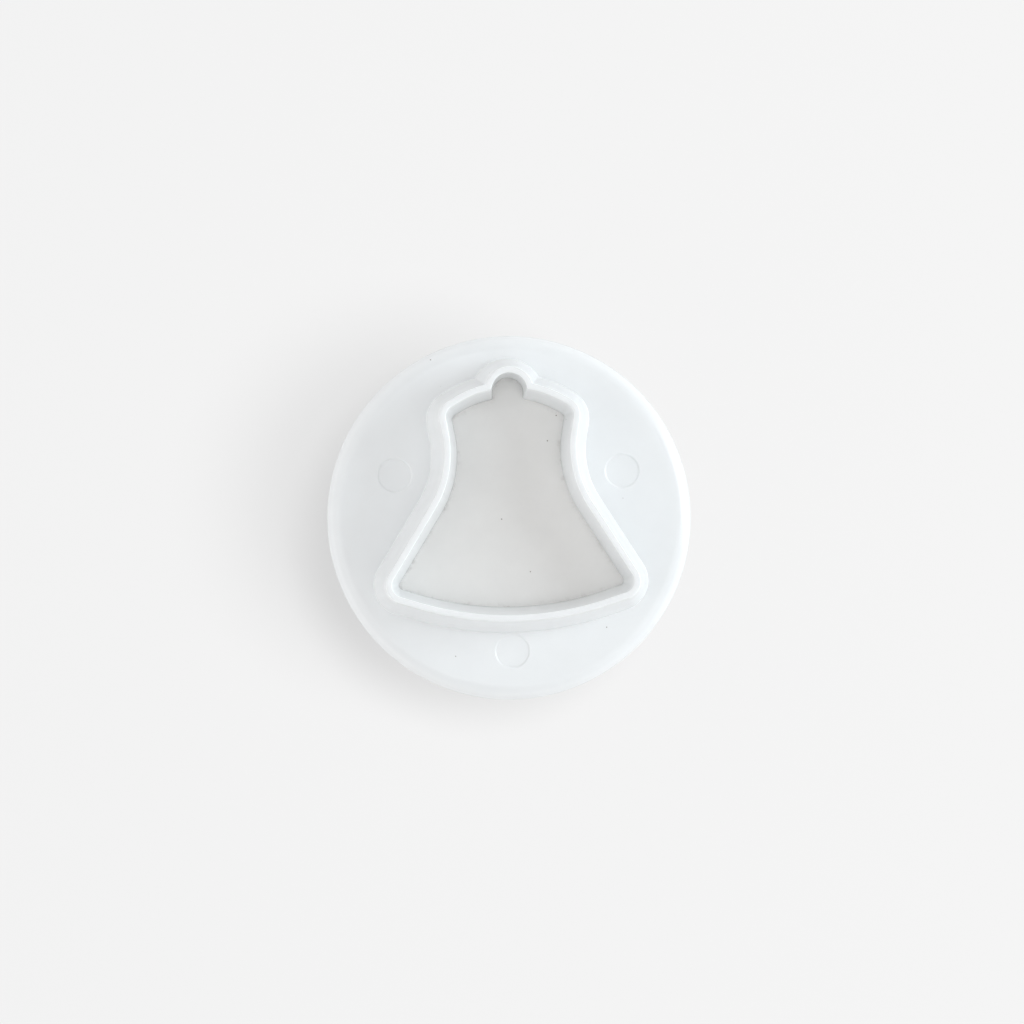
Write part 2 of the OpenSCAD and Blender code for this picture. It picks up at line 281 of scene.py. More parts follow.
# Each lamp's name, what it is, its shape, whether the floor alone or all but the floor gets its light, its
# watts, its width in millimetres, and in degrees its azimuth from the X axis and its elevation
LAMPS = (
    ("low", "broad low lamp on the right", "RECTANGLE", "EXCLUDE", 13.8, 1300.0, 10.0, 20.0),
    ("high", "lamp that draws the floor's long soft shadow", "DISK", "INCLUDE", 30.0, 800.0, -14.0, 61.0),
    ("top", "lamp that draws the floor's short shadow", "DISK", "INCLUDE", 25.0, 420.0, 38.0, 79.0),
    ("over", "weak lamp above", "SQUARE", "EXCLUDE", 3.1, 900.0, 0.0, 85.0),
    ("left", "weak lamp on the left", "SQUARE", "EXCLUDE", 2.2, 900.0, 180.0, 60.0),
    ("front", "weak lamp on the front right", "SQUARE", "EXCLUDE", 2.0, 900.0, -45.0, 60.0),
)


def lamp_settings():
    """Power, size and direction of every lamp, as properties"""
    held = {}
    for name, what, _, _, power, size, azimuth, elevation in LAMPS:
        title = name.capitalize()
        held[name + "_power"] = share(f"{title} power", power, f"Power of the {what}, in watts", 100.0)
        held[name + "_size"] = length(f"{title} size", size, f"Width of the {what}")
        held[name + "_azimuth"] = degrees(f"{title} azimuth", azimuth, f"Direction of the {what}")
        held[name + "_elevation"] = degrees(f"{title} elevation", elevation, f"Height angle of the {what}")
    return held


class StageSettings(bpy.types.PropertyGroup):
    """Floor, lamps and camera"""

    floor_size: length("Floor size", 6000.0, "Side of the square floor")
    floor_glow: share("Floor glow", 0.675, "Part of the floor's paleness that no shadow reaches")
    far_glow: share("Far glow", 0.9, "The same part far from the object, where the floor lamps fade")
    near_floor: length("Near floor", 800.0, "Distance from the object within which the floor lamps are even")
    far_floor: length("Far floor", 2800.0, "Distance from the object where the floor lamps have faded")
    floor_tone: share("Floor tone", 0.115, "How strongly the camera sees light and shade on the floor")
    floor_bounce: share("Floor bounce", 0.25, "How much light the floor throws back on the object")
    low_height: length("Low height", 700.0, "Height of the broad low lamp")
    lamp_distance: length("Lamp distance", 1500.0, "Distance of all lamps from the object")
    horizon: share("Horizon", 1.37, "Strength of the white light from the horizon", 2.0)
    side_glow: share("Side glow", 0.45, "How much stronger the light from the left is", 2.0)
    camera_distance: length("Camera distance", 390.0, "Distance of the camera from the flange")
    lens: share("Lens", 100.0, "Focal length in millimetres", 200.0)
    aim_x: length("Aim across", 0.34, "Where the camera aims, to the right of the axis")
    aim_y: length("Aim up", 0.75, "Where the camera aims, towards the crown")
    lean_left: degrees("Lean left", 2.0, "How far the camera stands to the left of overhead")
    lean_down: degrees("Lean down", 1.0, "How far the camera stands towards the mouth")
    roll: degrees("Roll", -1.2, "Turn of the camera about its own line of sight")


# The lamps' properties follow the stage's own
StageSettings.__annotations__.update(lamp_settings())


def settings():
    """The scene's own settings of this cutter"""
    return bpy.context.scene.bell_cutter


def corner_arc(before, corner, after, radius, steps):
    """Points and outward normals of the arc that rounds a corner between two others.

    The centre lies on the corner's bisector, radius / sin(half the corner's angle) away. The arc starts at
    the tangent point on the first side and turns by 180 degrees less the corner's angle, left or right.
    """
    u = (before - corner) / np.linalg.norm(before - corner)
    v = (after - corner) / np.linalg.norm(after - corner)
    side = 1.0 if v[0] * u[1] - v[1] * u[0] > 0 else -1.0
    half = math.acos(float(np.clip(u @ v, -1, 1))) / 2
    centre = corner + (u + v) / np.linalg.norm(u + v) * radius / math.sin(half)
    first = corner + u * radius / math.tan(half) - centre
    sweep = side * (math.pi - 2 * half)
    angles = math.atan2(first[1], first[0]) + sweep * np.linspace(0, 1, steps + 1)
    rays = np.stack([np.cos(angles), np.sin(angles)], axis=1)
    return centre + radius * rays, side * rays


def circle_arc(centre, start, end, steps, clockwise=False):
    """Points of a circle's arc about a centre, evenly turned from one point to another"""
    a = math.atan2(start[1] - centre[1], start[0] - centre[0])
    b = math.atan2(end[1] - centre[1], end[0] - centre[0])
    sweep = (b - a) % TURN
    if clockwise:
        sweep -= TURN
    radius = math.hypot(start[0] - centre[0], start[1] - centre[1])
    angles = a + sweep * np.linspace(0, 1, steps + 1)
    return centre + radius * np.stack([np.cos(angles), np.sin(angles)], axis=1)


def rounded_path(corners, steps=5):
    """Open path through corners given as (across, height, radius), each rounded by its radius.

    The ends stay sharp. Each inner corner becomes corner_arc's points, or stays one point if its radius
    is 0.
    """
    points = np.array([c[:2] for c in corners], float)
    path = [points[:1]]
    for i in range(1, len(corners) - 1):
        radius = corners[i][2]
        if radius > 0:
            path.append(corner_arc(points[i - 1], points[i], points[i + 1], radius, steps)[0])
        else:
            path.append(points[i:i + 1])
    path.append(points[-1:])
    return np.concatenate(path)


def filled(points, gap):
    """The same open path with even points added wherever two neighbours lie further apart than the gap"""
    parts = []
    for a, b in zip(points[:-1], points[1:]):
        steps = max(1, math.ceil(np.linalg.norm(b - a) / gap))
        parts.append(a + (b - a) * (np.arange(steps) / steps)[:, None])
    return np.concatenate([*parts, points[-1:]])


def bell_sides(blade, grow):
    """The bell's right side from the middle of the mouth up to the dome, moved outwards by grow.

    Every corner of the bell is rounded by corner_arc, and each point moves along its outward normal.
    The mouth's arc is kept from its middle on, and the dome's arc is kept whole, for the crown to cut.
    """
    lip = np.array([blade.lip_x, blade.lip_y])
    waist = np.array([blade.waist_x, blade.waist_y])
    shoulder = np.array([blade.shoulder_x, blade.shoulder_y])
    mouth = np.array([0.0, blade.mouth_y])
    dome = np.array([0.0, blade.dome_y])
    flip = np.array([-1.0, 1.0])
    half_mouth = 20
    corners = [
        (lip * flip, mouth, lip, blade.mouth_r, 2 * half_mouth),
        (mouth, lip, waist, blade.lip_r, 16),
        (lip, waist, shoulder, blade.waist_r, 18),
        (waist, shoulder, dome, blade.shoulder_r, 14),
    ]
    arcs = []
    for corner in corners:
        points, normals = corner_arc(*corner)
        arcs.append(points + grow * normals)
    arcs[0] = arcs[0][half_mouth:]
    dome_arc, dome_normals = corner_arc(shoulder, dome, shoulder * flip, blade.dome_r, 2)
    return arcs, dome_arc + grow * dome_normals, dome_arc - blade.dome_r * dome_normals


def crown_growth(blade, grow):
    """How far the crown's circle moves out: like the rest outside, by its own smaller draft in the well"""
    inside = min(0.0, grow)
    deep = min(0.0, inside + blade.inner_flare)
    return max(0.0, grow) + (inside - deep) * blade.crown_draft + deep


def bell_ring(blade, grow):
    """Closed outline of the bell, moved outwards by grow, as points counterclockwise from the mouth's middle.

    The right side ends in the dome's arc, a small hollow arc that touches the dome's and the crown's circles
    from outside, and the crown's arc up to its top. The left side mirrors the right one. Each stretch always
    has the same number of points, so that outlines of different growth line up point by point.
    """
    arcs, dome_arc, dome_centres = bell_sides(blade, grow)
    dome_centre = dome_centres[1]
    crown_centre = np.array([0.0, blade.crown_y])
    dome_r = blade.dome_r + grow
    crown_r = blade.crown_r + crown_growth(blade, grow)
    notch_r = blade.notch_r
    apart = blade.crown_y - dome_centre[1]
    rise = (apart ** 2 + (dome_r + notch_r) ** 2 - (crown_r + notch_r) ** 2) / (2 * apart)
    notch = np.array([math.sqrt((dome_r + notch_r) ** 2 - rise ** 2), dome_centre[1] + rise])
    dome_end = notch + (dome_centre - notch) * notch_r / (dome_r + notch_r)
    crown_start = notch + (crown_centre - notch) * notch_r / (crown_r + notch_r)
    crown_top = crown_centre + np.array([0.0, crown_r])
    ends = [arcs[1][0], arcs[2][0], arcs[3][0], dome_arc[0]]
    parts = []
    for arc, end, steps in zip(arcs, ends, STRAIGHT_STEPS):
        parts.append(arc)
        parts.append(arc[-1] + (end - arc[-1]) * (np.arange(1, steps) / steps)[:, None])
    parts.append(circle_arc(dome_centre, dome_arc[0], dome_end, DOME_STEPS)[:-1])
    parts.append(circle_arc(notch, dome_end, crown_start, NOTCH_STEPS, clockwise=True)[:-1])
    parts.append(circle_arc(crown_centre, crown_start, crown_top, CROWN_STEPS))
    return mirrored(np.concatenate(parts))


def mirrored(right):
    """A closed ring from its right side, which starts and ends on the Y axis"""
    return np.concatenate([right, right[-2:0:-1] * np.array([-1.0, 1.0])])


def crown_folded(ring):
    """The bell's ring with its crown pressed down onto the straight line across its neck.

    What is left has one point in each direction from the axis, so that straight rows lead to a circle.
    """
    half = len(ring) // 2
    neck = half - NOTCH_STEPS - CROWN_STEPS
    right = ring[:half + 1].copy()
    right[neck:, 0] = right[neck, 0] * np.linspace(1, 0, half + 1 - neck)
    right[neck:, 1] = right[neck, 1]
    return mirrored(right)


def laddered(ring, start, first_new, steps=24):
    """Flat faces across a closed ring that mirrors itself in the Y axis, facing up, and the points they add.

    A rung joins each point to its mirror image. It has points at (1 - cos(pi t)) / 2 of its length, so that
    they lie close together near the rim. The ring's own points start at one index, the new ones at another.
    """
    half = len(ring) // 2
    i = np.arange(1, half)
    along = ((1 - np.cos(math.pi * np.arange(1, steps) / steps)) / 2)[:, None]
    inner = ring[i, None] + (ring[-i, None] - ring[i, None]) * along
    index = np.empty((half - 1, steps + 1), int)
    index[:, 0] = start + i
    index[:, 1:-1] = first_new + np.arange(inner.shape[0] * inner.shape[1]).reshape(inner.shape[:2])
    index[:, -1] = start + len(ring) - i
    low, high = index[:-1], index[1:]
    quads = np.stack([low[:, :-1], high[:, :-1], high[:, 1:], low[:, 1:]], axis=2)
    faces = quads.reshape(-1, 4).tolist()
    faces += [[start, a, b] for a, b in zip(index[0, :-1].tolist(), index[0, 1:].tolist())]
    faces += [[start + half, b, a] for a, b in zip(index[-1, :-1].tolist(), index[-1, 1:].tolist())]
    return inner.reshape(-1, 3), faces


def at_height(outline, z):
    """An outline in the plane as a row of points at height z"""
    return np.column_stack([outline, np.full(len(outline), z)])


def circle_rows(path, angles):
    """Rows of a revolved surface: each (radius, height) of the path, turned to every angle"""
    return turned(path[:, 0, None], path[:, 1, None], angles)


def turned(r, z, angles):
    """Points at radii and heights, one row for each, turned to every angle"""
    x, y = r * np.cos(angles), r * np.sin(angles)
    return np.stack([x, y, np.broadcast_to(z, x.shape)], axis=2)


def even_angles(columns):
    """Angles of a full turn in even steps"""
    return np.arange(columns) * TURN / columns


def grid_quads(rows, columns, round_rows=False):
    """Four-sided faces between neighbouring rows whose columns run round counterclockwise.

    A face points outwards where the rows climb an outer wall. With round_rows the last row joins the first.
    """
    k = np.arange(rows if round_rows else rows - 1)[:, None]
    i = np.arange(columns)
    j = (i + 1) % columns
    this, following = k * columns, (k + 1) % rows * columns
    return np.stack([this + i, this + j, following + j, following + i], axis=2).reshape(-1, 4)


def between_poles(rows, low, high):
    """Points and faces of rows that climb an outer wall and close round one point below and one above"""
    columns = rows.shape[1]
    first = len(rows) * columns
    top = first - columns
    faces = grid_quads(len(rows), columns).tolist()
    faces += [[first, (i + 1) % columns, i] for i in range(columns)]
    faces += [[first + 1, top + i, top + (i + 1) % columns] for i in range(columns)]
    return np.concatenate([rows.reshape(-1, 3), [[0, 0, low], [0, 0, high]]]), faces


def new_piece(name, points, faces, material):
    """A mesh object at the origin from its points and its faces, smooth but for its sharp corners"""
    mesh = bpy.data.meshes.new(name)
    points = np.asarray(points).reshape(-1, 3)
    mesh.from_pydata(points.tolist(), [], [list(map(int, face)) for face in faces])
    mesh.materials.append(material)
    piece = bpy.data.objects.new(name, mesh)
    bpy.context.scene.collection.objects.link(piece)
    return piece


def smoothed(piece, sharp_degrees=25):
    """Smooth shading with sharp corners kept, and flat faces kept flat by weighting normals by area"""
    mesh = piece.data
    mesh.validate()
    mesh.shade_smooth()
    mesh.set_sharp_from_angle(angle=math.radians(sharp_degrees))
    weighted = piece.modifiers.new("flat faces", "WEIGHTED_NORMAL")
    weighted.keep_sharp = True
    weighted.weight = 60
    return piece


def combined(piece, tool, operation):
    """The piece joined with or cut by a closed tool, which is then removed"""
    modifier = piece.modifiers.new(operation.lower(), "BOOLEAN")
    modifier.operation = operation
    modifier.solver = "MANIFOLD"
    modifier.object = tool
    bpy.context.view_layer.update()
    evaluated = piece.evaluated_get(bpy.context.evaluated_depsgraph_get())
    mesh = bpy.data.meshes.new_from_object(evaluated)
    if len(mesh.polygons) == 0:
        raise RuntimeError(f"{piece.name}: the {operation} left nothing")
    piece.modifiers.remove(modifier)
    piece.data = mesh
    bpy.data.objects.remove(tool)
    return piece


def joined_shells(name, shells, material):
    """One object from several closed shells, each given as (points, faces)"""
    points, faces, start = [], [], 0
    for shell_points, shell_faces in shells:
        points.append(shell_points)
        faces.extend([[v + start for v in face] for face in shell_faces])
        start += len(shell_points)
    return new_piece(name, np.concatenate(points), faces, material)


def placed(piece, node, body):
    """The piece stands for a CAD node, whose mesh it hides, and moves with its body"""
    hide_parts(node)
    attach(piece, body)
    return piece


def add(tree, kind, inputs=None, **settings):
    """Adds a node: settings are its attributes, and inputs maps a socket to a value or a (node, output)"""
    node = tree.nodes.new(kind)
    for key, value in settings.items():
        setattr(node, key, value)
    for socket, source in (inputs or {}).items():
        if isinstance(source, tuple):
            tree.links.new(source[0].outputs[source[1]], node.inputs[socket])
        else:
            node.inputs[socket].default_value = source
    return node


def new_material(name):
    """A material and its tree, which holds no nodes yet"""
    material = bpy.data.materials.new(name)
    material.use_nodes = True
    material.node_tree.nodes.clear()
    return material, material.node_tree


def per_mm(size):
    """Noise scale whose features are about the given number of millimetres across"""
    return 1 / (size * MM)


# Mesh attribute that is 1 along the plate's edge, where painted shade and dust darken it, and 0 away from it,
# and the wire's UV map
EDGE = "worked_edge"
WIRE_UV = "along_wire"


def moulded_polypropylene(part, roughness, mottle=0.012, specks=0.03, edge_dust_and_shade=0.0, depth=1.2):
    """Polypropylene, injection-moulded in a polished steel mould, in the colour of a part.

    To the eye: a cool even white, semi-gloss, with a faint cloudiness where the melt flowed, a very fine
    orange peel in the gloss, hair-fine tool marks along Y and a few specks of dust. Where asked, the edge
    that the mesh marks is darkened in patches: painted shade in the crease against the wall, mixed with
    dust. Light goes in by the depth in millimetres, and a depth of 0 keeps it out. Real tool marks are
    finer than the 0.3 mm here, which is as fine as the render shows.
    """
    finishes = settings().finishes
    base, dust_and_shade = getattr(finishes, part), finishes.dust_and_shade
    material, tree = new_material("moulded_pp_" + part)
    place = add(tree, "ShaderNodeTexCoord")
    here = (place, "Object")
    flow = {"Vector": here, "Scale": per_mm(4), "Detail": 5.0, "Roughness": 0.65}
    cloud, surface = clouded(tree, flow, base, 1 - mottle, 1 + mottle)
    # The dust-and-shade colour goes on as specks everywhere and, along the marked edge, as painted shade
    # mixed with dust
    masks = [dust_specks(tree, here, specks)]
    if edge_dust_and_shade:
        masks.append(edge_dust_and_shade_mask(tree, here, edge_dust_and_shade))
    for mask in masks:
        mixed = add(
            tree, "ShaderNodeMixRGB",
            {"Fac": (mask, "Value"), "Color1": surface, "Color2": [*dust_and_shade, 1.0]},
        )
        surface = mixed, "Color"
    peel = add(tree, "ShaderNodeTexNoise", {"Vector": here, "Scale": per_mm(0.7), "Detail": 2.0})
    along = add(tree, "ShaderNodeMapping", {"Vector": here, "Scale": [1.0, 0.05, 1.0]})
    tool = add(
        tree, "ShaderNodeTexNoise",
        {"Vector": (along, "Vector"), "Scale": per_mm(0.3), "Detail": 1.0},
    )
    peel_bump = add(
        tree, "ShaderNodeBump",
        {"Height": (peel, "Fac"), "Strength": 0.5, "Distance": 0.006 * MM},
    )
    tool_bump = add(
        tree, "ShaderNodeBump",
        {"Height": (tool, "Fac"), "Strength": 0.5, "Distance": 0.004 * MM, "Normal": (peel_bump, "Normal")},
    )
    gloss = add(
        tree, "ShaderNodeMapRange",
        {"Value": (cloud, "Fac"), "To Min": roughness - 0.03, "To Max": roughness + 0.04},
    )
    shader = add(
        tree, "ShaderNodeBsdfPrincipled",
        {
            "Base Color": surface, "Roughness": (gloss, "Result"), "IOR": 1.49,
            "Subsurface Weight": 0.2 if depth else 0.0, "Subsurface Radius": [1.0, 1.0, 1.0],
            "Subsurface Scale": depth * MM, "Normal": (tool_bump, "Normal"),
        },
    )
    add(tree, "ShaderNodeOutputMaterial", {"Surface": (shader, "BSDF")})
    return material


def clouded(tree, pattern, base, darker, lighter):
    """A noise, and as (node, output) its soft blend between darker and lighter shares of a colour"""
    noise = add(tree, "ShaderNodeTexNoise", pattern)
    ramp = add(tree, "ShaderNodeValToRGB", {"Fac": (noise, "Fac")})
    for element, position, level in zip(ramp.color_ramp.elements, (0.25, 0.75), (darker, lighter)):
        element.position = position
        element.color = [min(1.0, c * level) for c in base] + [1.0]
    return noise, (ramp, "Color")


def dust_specks(tree, here, amount):
    """Mask of tiny dust specks: few cells of a 3D cell pattern hold one, about 0.2 mm across"""
    cells = add(tree, "ShaderNodeTexVoronoi", {"Vector": here, "Scale": per_mm(1.3)})
    near = add(
        tree, "ShaderNodeMapRange",
        {"Value": (cells, "Distance"), "From Min": 0.09, "From Max": 0.05},
    )
    chosen = add(tree, "ShaderNodeSeparateColor", {"Color": (cells, "Color")})
    held = add(tree, "ShaderNodeMath", {0: (chosen, "Red"), 1: amount}, operation="LESS_THAN")
    return add(tree, "ShaderNodeMath", {0: (near, "Result"), 1: (held, "Value")}, operation="MULTIPLY")


def edge_dust_and_shade_mask(tree, here, amount):
    """Mask of painted shade and dust along the edge that the mesh's edge attribute marks: darkest at the
    crease where the wall stands, fading inwards, stronger in patches
    """
    edge = add(tree, "ShaderNodeAttribute", attribute_name=EDGE)
    patches = add(
        tree, "ShaderNodeTexNoise",
        {"Vector": here, "Scale": per_mm(1.6), "Detail": 4.0, "Roughness": 0.7},
    )
    patchy = add(
        tree, "ShaderNodeMapRange",
        {"Value": (patches, "Fac"), "From Min": 0.52, "From Max": 0.72, "To Min": 0.03, "To Max": 1.0},
    )
    near = add(tree, "ShaderNodeMath", {0: (edge, "Fac"), 1: 1.6}, operation="POWER")
    mask = add(tree, "ShaderNodeMath", {0: (near, "Value"), 1: (patchy, "Result")}, operation="MULTIPLY")
    return add(tree, "ShaderNodeMath", {0: (mask, "Value"), 1: amount}, operation="MULTIPLY")


def drawn_wire():
    """Stainless steel wire, drawn through a die and wound cold.

    To the eye: grey, bright and a little satin, with fine draw lines that run along the wire. There are 14
    round it, 0.18 mm apart, because real ones are too fine to show.
    """
    material, tree = new_material("drawn_stainless_wire")
    along = add(tree, "ShaderNodeUVMap", uv_map=WIRE_UV)
    draw_marks = {"Vector": (along, "UV"), "Scale": 14.0, "Detail": 2.0}
    lines, surface = clouded(tree, draw_marks, settings().finishes.wire, 0.9, 1.08)
    bump = add(
        tree, "ShaderNodeBump",
        {"Height": (lines, "Fac"), "Strength": 0.4, "Distance": 0.006 * MM},
    )
    shader = add(
        tree, "ShaderNodeBsdfPrincipled",
        {"Base Color": surface, "Metallic": 1.0, "Roughness": 0.28, "Normal": (bump, "Normal")},
    )
    add(tree, "ShaderNodeOutputMaterial", {"Surface": (shader, "BSDF")})
    return material


def zinc_plate():
    """Mild steel, cold headed and rolled, with a bright zinc plate.

    To the eye: a cool light grey metal with soft cloudy patches and slightly rough highlights.
    """
    material, tree = new_material("bright_zinc_plate")
    place = add(tree, "ShaderNodeTexCoord")
    bloom = {"Vector": (place, "Object"), "Scale": per_mm(0.8), "Detail": 4.0}
    patches, surface = clouded(tree, bloom, settings().finishes.zinc, 0.88, 1.06)
    gloss = add(tree, "ShaderNodeMapRange", {"Value": (patches, "Fac"), "To Min": 0.22, "To Max": 0.4})
    shader = add(
        tree, "ShaderNodeBsdfPrincipled",
        {"Base Color": surface, "Metallic": 1.0, "Roughness": (gloss, "Result")},
    )
    add(tree, "ShaderNodeOutputMaterial", {"Surface": (shader, "BSDF")})
    return material


def pale_floor(stage, finishes):
    """Matt painted board. The camera sees it mostly as an even pale tone with the shadow drawn on it.

    The tone's own glow rises with the distance from the object by as much as the floor lamps fade.
    """
    material, tree = new_material("matt_pale_board")
    rays = add(tree, "ShaderNodeLightPath")
    seen = rays, "Is Camera Ray"
    for ray in ("Is Glossy Ray", "Is Transmission Ray"):
        either = add(tree, "ShaderNodeMath", {0: seen, 1: (rays, ray)}, operation="MAXIMUM")
        seen = either, "Value"
    tone = [stage.floor_tone * c for c in finishes.floor] + [1.0]
    place = add(tree, "ShaderNodeTexCoord")
    away = add(tree, "ShaderNodeVectorMath", {0: (place, "Object")}, operation="LENGTH")
    rising = add(
        tree, "ShaderNodeMapRange",
        {
            "Value": (away, "Value"), "From Min": stage.near_floor, "From Max": stage.far_floor,
            "To Min": stage.floor_glow, "To Max": stage.far_glow,
        },
    )
    glow = add(tree, "ShaderNodeEmission", {"Color": [*finishes.floor, 1.0], "Strength": (rising, "Result")})
    shade = add(tree, "ShaderNodeBsdfDiffuse", {"Color": tone})
    bounce = add(tree, "ShaderNodeBsdfDiffuse", {"Color": [stage.floor_bounce] * 3 + [1.0]})
    shown = add(tree, "ShaderNodeAddShader", {0: (glow, "Emission"), 1: (shade, "BSDF")})
    both = add(
        tree, "ShaderNodeMixShader",
        {0: seen, 1: (bounce, "BSDF"), 2: (shown, "Shader")},
    )
    add(tree, "ShaderNodeOutputMaterial", {"Surface": (both, "Shader")})
    return material


def ring_angles(blade, grow):
    """Directions from the axis of the points of the bell's outline, moved outwards by grow"""
    ring = bell_ring(blade, grow)
    return np.arctan2(ring[:, 1], ring[:, 0])


def body_rows(blade, flange):
    """Rows of the moulded body, once round its whole section.

    From the flange's outer edge the rows go over its top, up the blade's outside, over the rim, down the
    well, through the guide bore, round the guide, under the flange, round the collar and back to the edge.
    Circles turn to the angles of the bell's foot, so that the rows between circle and bell run straight out.
    """
    flange_top = RIM_Z - blade.height
    foot = blade.rim_w + blade.outer_flare
    apron = foot + APRON_W
    angles = ring_angles(blade, apron)
    face_r = FLANGE_R - flange.bevel_w
    swell = flange.bevel_crown / math.hypot(flange.bevel_w, flange.bevel_drop)
    edge = rounded_path([
        (FLANGE_R, FLANGE_Z + flange.back_r, 0),
        (FLANGE_R, flange_top - flange.bevel_drop, flange.edge_r),
        (FLANGE_R - flange.bevel_w / 2 + flange.bevel_drop * swell,
         flange_top - flange.bevel_drop / 2 + flange.bevel_w * swell, flange.bevel_r),
        (face_r, flange_top, flange.bevel_r),
        (face_r - LEDGE_W, flange_top, 0),
    ], 8)
    wall = filled(rounded_path([
        (apron, flange_top, 0),
        (foot, flange_top, blade.foot_r),
        (blade.rim_w, RIM_Z, blade.rim_edge_r),
        (0, RIM_Z, blade.rim_edge_r),
        (-blade.inner_flare, PLATE_TOP_Z, 0),
        (-blade.inner_flare, flange_top, 0),
    ]), WALL_GAP)
    bore_r = flange.guide_bore_d / 2
    guide_r = bore_r + flange.guide_wall
    collar_r = flange.collar_d / 2
    collar_bore_r = flange.collar_bore_d / 2
    behind = rounded_path([
        (bore_r, flange_top, 0),
        (bore_r, FLANGE_Z - flange.guide_drop, FINE_R),
        (guide_r, FLANGE_Z - flange.guide_drop, SOFT_R),
        (guide_r, FLANGE_Z, ROOT_R),
        (collar_bore_r, FLANGE_Z, BORE_ROOT_R),
        (collar_bore_r, COLLAR_Z, flange.collar_edge_r),
        (collar_r, COLLAR_Z, flange.collar_edge_r),
        (collar_r, FLANGE_Z, COLLAR_ROOT_R),
        (FLANGE_R, FLANGE_Z, flange.back_r),
        (FLANGE_R, FLANGE_Z + flange.back_r, 0),
    ])[:-1]
    edge_rows = circle_rows(edge, angles)
    wall_rows = np.stack([at_height(bell_ring(blade, g), z) for g, z in wall])
    between = np.linspace(0, 1, 5)[1:-1, None, None]
    top_rows = edge_rows[-1] + (wall_rows[0] - edge_rows[-1]) * between
    floor_rows = flat_rows(bell_ring(blade, -blade.inner_flare), bore_r, angles, flange_top)
    return np.concatenate([edge_rows, top_rows, wall_rows, floor_rows, circle_rows(behind, angles)])


def flat_rows(ring, circle_r, angles, z):
    """Flat rows from just inside a bell-shaped ring to just outside a circle, for the faces between them"""
    folded = crown_folded(ring)
    circle = circle_r * np.column_stack([np.cos(angles), np.sin(angles)])
    steps = np.linspace(0, 1, 5)[:-1]
    return np.stack([at_height(folded + (circle - folded) * step, z) for step in steps])


def rib_shell(flange, turn):
    """One gusset rib as a closed shell: a rounded section carried along the rib's free edge.

    The free edge falls evenly from the flange to the collar. At each station the section goes down one side,
    round the free edge and up the other. It ends inside the flange, and the rib begins inside the collar.
    """
    stations, into_collar, into_flange, least_h = 9, 0.5 * MM, 0.3 * MM, 0.1 * MM
    collar_r = flange.collar_d / 2
    root = FLANGE_Z + into_flange
    inside, outside = collar_r - into_collar, collar_r + flange.rib_reach
    r = inside + (outside - inside) * np.linspace(0, 1, stations)
    slope = flange.rib_drop / flange.rib_reach
    free_z = np.minimum(FLANGE_Z - flange.rib_drop + (r - collar_r) * slope, root - least_h)
    half, tall = flange.rib_t / 2, 1.0
    section = rounded_path([
        (half, tall, 0),
        (half, 0, flange.rib_edge_r),
        (-half, 0, flange.rib_edge_r),
        (-half, tall, 0),
    ])
    across, up = section[:, 0], section[:, 1]
    z = np.minimum(free_z[:, None] + up, root)
    points = np.stack([np.broadcast_to(r[:, None], z.shape), np.broadcast_to(across, z.shape), z], axis=2)
    cos, sin = math.cos(turn), math.sin(turn)
    spin = np.array([[cos, sin, 0], [-sin, cos, 0], [0, 0, 1]])
    columns = len(section)
    last = (stations - 1) * columns
    near_end, far_end = list(range(columns))[::-1], list(range(last, last + columns))
    return points.reshape(-1, 3) @ spin, [*grid_quads(stations, columns).tolist(), near_end, far_end]


def revolved(path, columns):
    """Points and faces of a closed path of (radius, height), revolved about Z.

    The path runs counterclockwise in the half-plane. A path that starts and ends on the axis gets a fan at
    each end round one point, and any other path closes on itself.
    """
    rows = circle_rows(path, even_angles(columns))
    if path[0, 0] == 0:
        return between_poles(rows[1:-1], path[0, 1], path[-1, 1])
    return rows.reshape(-1, 3), grid_quads(len(path), columns, round_rows=True).tolist()


class CUTTER_OT_body(bpy.types.Operator):
    """Builds the moulded body: flange, bell blade, collar, guide, ribs and moulding marks"""

    bl_idname = "cutter.body"
    bl_label = "Cutter Body"

    def execute(self, context):
        blade, flange = settings().blade, settings().flange
        material = moulded_polypropylene("body", 0.2)
        rows = body_rows(blade, flange)
        faces = grid_quads(len(rows), rows.shape[1], round_rows=True)
        piece = new_piece("cutter_body_moulding", rows, faces, material)
        turns = [(i + 0.5) * TURN / flange.rib_count for i in range(flange.rib_count)]
        ribs = joined_shells("ribs", [rib_shell(flange, turn) for turn in turns], material)
        piece = combined(piece, ribs, "UNION")
        piece = combined(piece, self.stamps(blade, flange, material), "DIFFERENCE")
        smoothed(piece)
        placed(piece, "cutter_body", "cutter")
        return {"FINISHED"}

    def stamps(self, blade, flange, material):
        """Closed round stamps that press the moulding marks: each widens upwards by the mark's slope"""
        top = RIM_Z - blade.height
        clear = top + 0.3 * MM
        r = flange.mark_d / 2
        path = rounded_path([
            (0, top - flange.mark_depth, 0),
            (r - flange.mark_slope / 2, top - flange.mark_depth, CRISP_R),
            (r + flange.mark_slope / 2, top, 0),
            (r + flange.mark_slope, clear, 0),
            (0, clear, 0),
        ], 3)
        points, faces = revolved(path, STAMP_COLUMNS)
        spots = [
            (flange.side_mark_r, flange.side_mark_angle),
            (flange.side_mark_r, math.pi - flange.side_mark_angle),
            (flange.low_mark_r, -math.pi / 2),
        ]
        moves = [[away * math.cos(turn), away * math.sin(turn), 0] for away, turn in spots]
        shells = [(points + move, faces) for move in moves]
        return joined_shells("stamps", shells, material)


